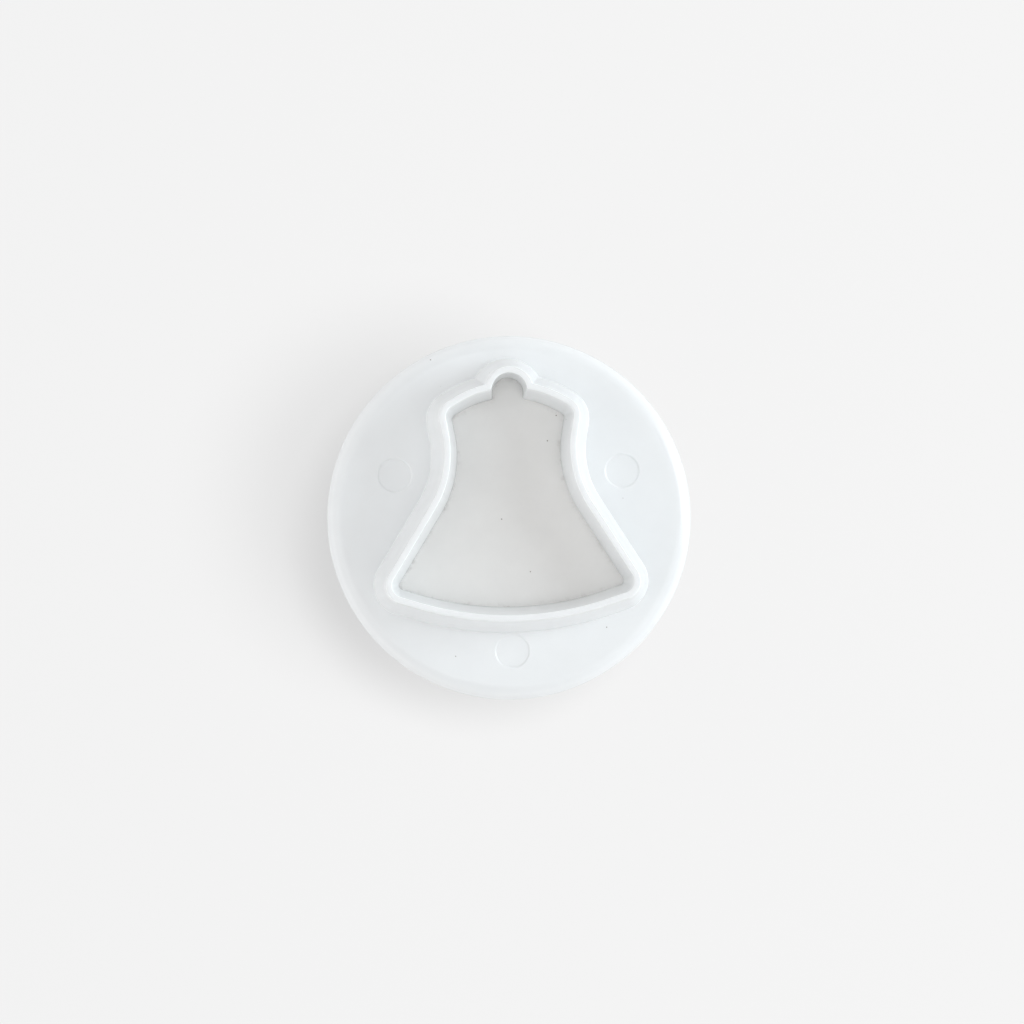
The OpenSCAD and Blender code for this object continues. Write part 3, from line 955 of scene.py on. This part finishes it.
class CUTTER_OT_plate(bpy.types.Operator):
    """Builds the ejector plate with its post"""

    bl_idname = "cutter.plate"
    bl_label = "Ejector Plate"

    def execute(self, context):
        blade, plate = settings().blade, settings().plate
        # The plate darkens along its edge against the wall: painted shade in the crease, mixed with dust
        material = moulded_polypropylene("plate", 0.38, mottle=0.02, specks=0.1, edge_dust_and_shade=0.4, depth=0)
        under = RIM_Z - blade.height
        rim = -(blade.inner_flare + plate.gap)
        inset = rim - 0.25 * MM
        edge = rounded_path([
            (inset, under, 0),
            (rim, under, plate.edge_r),
            (rim, PLATE_TOP_Z, plate.edge_r),
            (inset, PLATE_TOP_Z, 0),
        ])
        wall_rows = np.stack([at_height(bell_ring(blade, g), z) for g, z in edge])
        angles = ring_angles(blade, blade.rim_w + blade.outer_flare)
        post_r = plate.post_d / 2
        post = rounded_path([
            (plate.pilot_r, KNOB_FLOOR_Z + plate.pilot_depth, 0),
            (plate.pilot_r, KNOB_FLOOR_Z, FINE_R),
            (post_r, KNOB_FLOOR_Z, plate.post_edge_r),
            (post_r, under, plate.root_r),
            (post_r + 2 * plate.root_r, under, 0),
        ])
        under_rows = flat_rows(wall_rows[0, :, :2], post[-1, 0], angles, under)[::-1]
        rows = np.concatenate([circle_rows(post, angles), under_rows, wall_rows])
        columns = rows.shape[1]
        faces = grid_quads(len(rows), columns).tolist()
        faces.append(list(range(columns))[::-1])
        top, top_faces = laddered(rows[-1], (len(rows) - 1) * columns, len(rows) * columns)
        points = np.concatenate([rows.reshape(-1, 3), top])
        piece = new_piece("ejector_plate_moulding", points, faces + top_faces, material)
        # Painted shade with dust: 1 where the plate's edge meets the wall, fading inwards, none on the
        # plate's underside
        off = points[:, None, :2] - bell_ring(blade, rim)[None]
        near = np.clip(1 - np.linalg.norm(off, axis=2).min(axis=1) / plate.edge_dust_and_shade_w, 0, 1)
        near[points[:, 2] < under + plate.edge_r] = 0
        marked = piece.data.attributes.new(EDGE, "FLOAT", "POINT")
        marked.data.foreach_set("value", near.astype(np.float32))
        smoothed(piece)
        placed(piece, "ejector_plate", "plunger")
        return {"FINISHED"}


class CUTTER_OT_spring(bpy.types.Operator):
    """Winds the return spring"""

    bl_idname = "cutter.spring"
    bl_label = "Return Spring"

    def execute(self, context):
        steel = settings().steel
        points, faces, uvs = self.wound(steel)
        piece = new_piece("return_spring_wire", points, faces, drawn_wire())
        layer = piece.data.uv_layers.new(name=WIRE_UV)
        corners = np.zeros(len(piece.data.loops), np.int32)
        piece.data.loops.foreach_get("vertex_index", corners)
        layer.data.foreach_set("uv", uvs[corners].ravel())
        smoothed(piece)
        placed(piece, "return_spring", "cutter")
        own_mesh(piece)
        return {"FINISHED"}

    def wound(self, steel):
        """The wire's round section carried along a helix, with a domed end at both ends.

        The helix climbs slowly in its first and last turn and evenly between them. The section's circle
        stands in the plane of the radius and the axis, and shrinks to a tip over the last wire radius.
        """
        around, per_turn, dome, tip, v_per_turn = 14, 36, 4, 0.02, 0.4
        wire_r = steel.wire_d / 2
        turns = np.linspace(0, steel.coil_turns, steel.coil_turns * per_turn + 1)
        free = FLANGE_Z - KNOB_FLOOR_Z - steel.wire_d
        closed = steel.wire_d + steel.closed_gap
        ends = [0, 1, steel.coil_turns - 1, steel.coil_turns]
        rise = np.interp(turns, ends, [0, closed, free - closed, free])
        bend = np.pi / 2 * np.arange(1, dome + 1) / dome
        past = wire_r * np.sin(bend) / (TURN * steel.coil_d / 2)
        turns = np.concatenate([-past[::-1], turns, turns[-1] + past])
        rise = np.concatenate([np.zeros(dome), rise, np.full(dome, free)])
        shrink = np.cos(bend)
        shrink[-1] = tip
        section = np.concatenate([shrink[::-1], np.ones(len(turns) - 2 * dome), shrink])
        angle = TURN * turns[:, None]
        k = even_angles(around)[None, :]
        r = steel.coil_d / 2 + wire_r * section[:, None] * np.cos(k)
        z = KNOB_FLOOR_Z + wire_r + rise[:, None] + wire_r * section[:, None] * np.sin(k)
        points = turned(r, z, angle)
        last = (len(turns) - 1) * around
        faces = grid_quads(len(turns), around)[:, ::-1].tolist()
        faces.append(list(range(around)))
        faces.append(list(range(last, last + around))[::-1])
        u = np.broadcast_to(np.arange(around)[None, :] / around, (len(turns), around))
        v = np.broadcast_to(turns[:, None] * v_per_turn, u.shape)
        return points.reshape(-1, 3), faces, np.stack([u, v], axis=2).reshape(-1, 2)


class CUTTER_OT_knob(bpy.types.Operator):
    """Builds the push knob"""

    bl_idname = "cutter.knob"
    bl_label = "Push Knob"

    def execute(self, context):
        points, faces = revolved(self.outline(settings().knob), KNOB_COLUMNS)
        piece = new_piece("push_knob_moulding", points, faces, moulded_polypropylene("knob", 0.22))
        smoothed(piece)
        placed(piece, "push_knob", "plunger")
        return {"FINISHED"}

    def outline(self, knob):
        """The knob's closed section, counterclockwise: dish, ring, edge, back, neck, bore and seats.

        The dish is an arc of the circle through its rim whose middle is as deep as the dish.
        """
        seat_lip = 0.2 * MM
        dish_r = knob.dish_d / 2
        seat_r = CAP_R + knob.seat_gap
        recess_r = WASHER_R + 2 * knob.seat_gap
        bowl_r = (dish_r ** 2 + knob.dish_depth ** 2) / (2 * knob.dish_depth)
        across = np.linspace(seat_r + seat_lip, dish_r, 9)
        sunk = knob.dish_depth - bowl_r + np.sqrt(bowl_r ** 2 - across ** 2)
        dish = np.column_stack([across, sunk])
        neck_r = knob.neck_d / 2
        neck_bore_r = knob.neck_bore_d / 2
        socket_out = knob.socket_r + knob.socket_wall
        rest = rounded_path([
            (dish_r, 0, 0),
            (KNOB_R, 0, knob.head_edge_r),
            (KNOB_R, knob.head_t, knob.head_back_r),
            (neck_r, knob.head_t, knob.neck_root_r),
            (neck_r, NECK_TOP_Z, knob.neck_edge_r),
            (neck_bore_r, NECK_TOP_Z, knob.neck_edge_r),
            (neck_bore_r, KNOB_FLOOR_Z, BORE_ROOT_R),
            (socket_out, KNOB_FLOOR_Z, ROOT_R),
            (socket_out, KNOB_FLOOR_Z + knob.socket_h, SOFT_R),
            (knob.socket_r, KNOB_FLOOR_Z + knob.socket_h, SOFT_R),
            (knob.socket_r, KNOB_FLOOR_Z, 0),
            (knob.screw_hole_r, KNOB_FLOOR_Z, CRISP_R),
            (knob.screw_hole_r, WEB_Z, CRISP_R),
            (recess_r, WEB_Z, FINE_R),
            (recess_r, CAP_TOP_Z, FINE_R),
            (seat_r, CAP_TOP_Z, FINE_R),
            (seat_r, dish[0, 1], FINE_R),
            (dish[0, 0], dish[0, 1], 0),
        ], 6)
        return np.concatenate([dish[1:-1], rest])


class CUTTER_OT_cap(bpy.types.Operator):
    """Builds the cap over the screw"""

    bl_idname = "cutter.cap"
    bl_label = "Knob Cap"

    def execute(self, context):
        knob = settings().knob
        across = np.linspace(0, CAP_R - knob.cap_edge_r, 8)
        face = np.column_stack([across, CAP_Z + knob.cap_crown * (across / CAP_R) ** 2])
        edge = rounded_path([
            (*face[-2], 0),
            (CAP_R, CAP_Z + knob.cap_crown, knob.cap_edge_r),
            (CAP_R, CAP_TOP_Z, THIN_R),
            (0, CAP_TOP_Z, 0),
        ])[1:]
        points, faces = revolved(np.concatenate([face[:-1], edge]), CAP_COLUMNS)
        piece = new_piece("knob_cap_disc", points, faces, moulded_polypropylene("cap", 0.3))
        smoothed(piece)
        placed(piece, "knob_cap", "plunger")
        return {"FINISHED"}


class CUTTER_OT_fasteners(bpy.types.Operator):
    """Builds the screw and its washer"""

    bl_idname = "cutter.fasteners"
    bl_label = "Screw and Washer"

    def execute(self, context):
        steel = settings().steel
        material = zinc_plate()
        points, faces = self.screw(steel)
        screw = new_piece("knob_screw_threaded", points, faces, material)
        smoothed(screw, 50)
        placed(screw, "knob_screw", "plunger")
        points, faces = revolved(self.washer_outline(steel), STEEL_COLUMNS)
        washer = new_piece("screw_washer_ring", points, faces, material)
        smoothed(washer)
        placed(washer, "screw_washer", "plunger")
        return {"FINISHED"}

    def washer_outline(self, steel):
        """The washer's closed section, counterclockwise from a point on its lower face"""
        screw_gap, face_w = 0.05 * MM, 0.5 * MM
        edge = steel.washer_edge_r
        hole_r = steel.thread_r + screw_gap
        return rounded_path([
            (hole_r + face_w, SEAT_Z, 0),
            (WASHER_R, SEAT_Z, edge),
            (WASHER_R, WEB_Z, edge),
            (hole_r, WEB_Z, edge),
            (hole_r, SEAT_Z, edge),
            (hole_r + face_w, SEAT_Z, 0),
        ])[:-1]

    def screw(self, steel):
        """A pan head with a cross drive, and a thread: a surface of height and turn, closed at both ends.

        The head is a revolved path whose face sinks by the drive's depth inside a cross of two rounded bars.
        The shank's radius is its core plus the thread's depth times a ridge that climbs one pitch a turn, and
        both fade to the point.
        """
        soft, least_r, face_rings, rows_per_turn = 0.12 * MM, 0.05 * MM, 26, 12
        ridge_share, tip_share = 0.3, 0.2
        angles = even_angles(STEEL_COLUMNS)
        core_r = steel.thread_r - steel.thread_depth
        head = rounded_path([
            (0, SCREW_Z, 0),
            (SCREW_HEAD_R, SCREW_Z, steel.head_edge_r),
            (SCREW_HEAD_R, SEAT_Z, CRISP_R),
            (core_r, SEAT_Z, 0),
        ], 8)
        face_r = np.linspace(least_r, head[1, 0], face_rings)
        face = np.column_stack([face_r, np.full(len(face_r), SCREW_Z)])
        rows = circle_rows(np.concatenate([face, head[2:]]), angles)
        arm = np.maximum(np.abs(rows[..., 0]), np.abs(rows[..., 1]))
        side = np.minimum(np.abs(rows[..., 0]), np.abs(rows[..., 1]))
        in_width = np.clip((steel.drive_w / 2 - side) / soft + 0.5, 0, 1)
        in_length = np.clip((steel.drive_l / 2 - arm) / (4 * soft) + 0.5, 0, 1)
        on_face = np.arange(len(rows)) < len(face)
        rows[..., 2] += steel.drive_depth * in_width * in_length * on_face[:, None]
        z = np.arange(SEAT_Z + 0.1 * MM, SCREW_TIP_Z - 0.02 * MM, steel.thread_pitch / rows_per_turn)
        phase = (z[:, None] / steel.thread_pitch - angles[None, :] / TURN) % 1.0
        ridge = np.clip(1 - np.abs(phase - 0.5) / ridge_share, 0, 1)
        to_tip = np.clip((SCREW_TIP_Z - z) / steel.point_l, 0, 1)[:, None]
        shank_r = (core_r + steel.thread_depth * ridge) * (tip_share + (1 - tip_share) * to_tip)
        shank = turned(shank_r, z[:, None], angles)
        return between_poles(np.concatenate([rows, shank]), SCREW_Z + steel.drive_depth, SCREW_TIP_Z)


def aimed(name, data, spot, target, roll=0.0):
    """A lamp or camera at a spot, looking at a target, with +Y up in its picture as far as it can be"""
    thing = bpy.data.objects.new(name, data)
    bpy.context.scene.collection.objects.link(thing)
    back = (Vector(spot) - Vector(target)).normalized()
    right = Vector((0, 1, 0)).cross(back).normalized()
    up = back.cross(right)
    turned_right = right * math.cos(roll) + up * math.sin(roll)
    turned_up = up * math.cos(roll) - right * math.sin(roll)
    matrix = Matrix((turned_right, turned_up, back)).transposed().to_4x4()
    matrix.translation = spot
    thing.matrix_world = matrix
    return thing


def polar(distance, azimuth, elevation):
    """Point at a distance from the origin in a direction"""
    flat = distance * math.cos(elevation)
    return Vector((flat * math.cos(azimuth), flat * math.sin(azimuth), distance * math.sin(elevation)))


class CUTTER_OT_stage(bpy.types.Operator):
    """Sets out the floor, the lamps, the even light and the camera"""

    bl_idname = "cutter.stage"
    bl_label = "Stage"

    def execute(self, context):
        stage, finishes = settings().stage, settings().finishes
        half = stage.floor_size / 2
        corners = [(-half, -half, 0), (half, -half, 0), (half, half, 0), (-half, half, 0)]
        floor = new_piece("floor", corners, [(0, 1, 2, 3)], pale_floor(stage, finishes))
        self.lamps(stage, finishes, floor)
        self.even_light(stage, finishes)
        self.camera(stage)
        context.scene.view_settings.view_transform = "Standard"
        return {"FINISHED"}

    def lamps(self, stage, finishes, floor):
        """A broad low lamp and three weak ones light all but the floor, and two round ones the floor alone"""
        for name, _, shape, floor_state, *_ in LAMPS:
            lamp = bpy.data.lights.new(name + "_lamp", "AREA")
            lamp.shape = shape
            lamp.size = getattr(stage, name + "_size")
            lamp.energy = getattr(stage, name + "_power")
            if name == "low":
                lamp.size_y = stage.low_height
                lamp.color = finishes.daylight
            azimuth, elevation = getattr(stage, name + "_azimuth"), getattr(stage, name + "_elevation")
            spot = polar(stage.lamp_distance, azimuth, elevation)
            self.links(aimed(name + "_lamp", lamp, spot, (0, 0, 0)), floor, floor_state)

    def links(self, lamp, floor, state):
        """Lets a lamp light only the floor, or everything but the floor"""
        receivers = bpy.data.collections.new(lamp.name + "_receivers")
        receivers.objects.link(floor)
        receivers.collection_objects[0].light_linking.link_state = state
        lamp.light_linking.receiver_collection = receivers

    def even_light(self, stage, finishes):
        """White light from low down all round, stronger on the left. The camera sees the floor's pale tone.

        Its strength is the horizon's times one less the height, plus the glow's times the share of the
        direction that points left.
        """
        world = bpy.data.worlds.new("even_light")
        world.use_nodes = True
        tree = world.node_tree
        tree.nodes.clear()
        rays = add(tree, "ShaderNodeLightPath")
        place = add(tree, "ShaderNodeTexCoord")
        axes = add(tree, "ShaderNodeSeparateXYZ", {"Vector": (place, "Generated")})
        low = add(
            tree, "ShaderNodeMapRange",
            {"Value": (axes, "Z"), "To Min": stage.horizon, "To Max": 0.0},
        )
        left = add(
            tree, "ShaderNodeMapRange",
            {
                "Value": (axes, "X"), "From Min": -1.0, "From Max": 0.0,
                "To Min": stage.side_glow, "To Max": 0.0,
            },
        )
        total = add(tree, "ShaderNodeMath", {0: (low, "Result"), 1: (left, "Result")}, operation="ADD")
        light = add(
            tree, "ShaderNodeBackground",
            {"Color": [1.0, 1.0, 1.0, 1.0], "Strength": (total, "Value")},
        )
        seen = add(tree, "ShaderNodeBackground", {"Color": [*finishes.floor, 1.0], "Strength": 1.0})
        both = add(
            tree, "ShaderNodeMixShader",
            {0: (rays, "Is Camera Ray"), 1: (light, "Background"), 2: (seen, "Background")},
        )
        add(tree, "ShaderNodeOutputWorld", {"Surface": (both, "Shader")})
        bpy.context.scene.world = world

    def camera(self, stage):
        """The photograph's view: almost straight down on the blade"""
        data = bpy.data.cameras.new("camera")
        data.sensor_width = 36.0
        data.lens = stage.lens
        target = Vector((stage.aim_x, stage.aim_y, RIM_Z - settings().blade.height))
        away = Vector((-math.tan(stage.lean_left), -math.tan(stage.lean_down), 1)).normalized()
        spot = target + away * stage.camera_distance
        bpy.context.scene.camera = aimed("camera", data, spot, target, stage.roll)


class BellCutterSettings(bpy.types.PropertyGroup):
    """All the cutter's settings"""

    blade: PointerProperty(type=BellBlade)
    flange: PointerProperty(type=FlangeSizes)
    plate: PointerProperty(type=PlateSizes)
    knob: PointerProperty(type=KnobSizes)
    steel: PointerProperty(type=SteelSizes)
    finishes: PointerProperty(type=Finishes)
    stage: PointerProperty(type=StageSettings)


OPERATORS = (
    CUTTER_OT_body, CUTTER_OT_plate, CUTTER_OT_spring, CUTTER_OT_knob,
    CUTTER_OT_cap, CUTTER_OT_fasteners, CUTTER_OT_stage,
)
GROUPS = (
    BellBlade, FlangeSizes, PlateSizes, KnobSizes, SteelSizes, Finishes, StageSettings, BellCutterSettings,
)


class VIEW3D_PT_bell_cutter(bpy.types.Panel):
    """Lists the cutter's pieces and their settings"""

    bl_label = "Bell Plunger Cutter"
    bl_space_type = "VIEW_3D"
    bl_region_type = "UI"
    bl_category = "Cutter"

    def draw(self, context):
        for operator in OPERATORS:
            self.layout.operator(operator.bl_idname)
        for name in BellCutterSettings.__annotations__:
            box = self.layout.box()
            box.label(text=name.capitalize())
            group = getattr(context.scene.bell_cutter, name)
            for key in group.__annotations__:
                box.prop(group, key)


CLASSES = (*GROUPS, *OPERATORS, VIEW3D_PT_bell_cutter)


def register():
    """Registers the property groups, the operators and the panel"""
    for cls in CLASSES:
        bpy.utils.register_class(cls)
    bpy.types.Scene.bell_cutter = PointerProperty(type=BellCutterSettings)


def unregister():
    """Takes away all that register adds"""
    del bpy.types.Scene.bell_cutter
    for cls in reversed(CLASSES):
        bpy.utils.unregister_class(cls)


def main():
    """Builds the pieces and the stage in order"""
    register()
    bpy.ops.cutter.body()
    bpy.ops.cutter.plate()
    bpy.ops.cutter.spring()
    bpy.ops.cutter.knob()
    bpy.ops.cutter.cap()
    bpy.ops.cutter.fasteners()
    bpy.ops.cutter.stage()


if __name__ == "__main__":
    main()
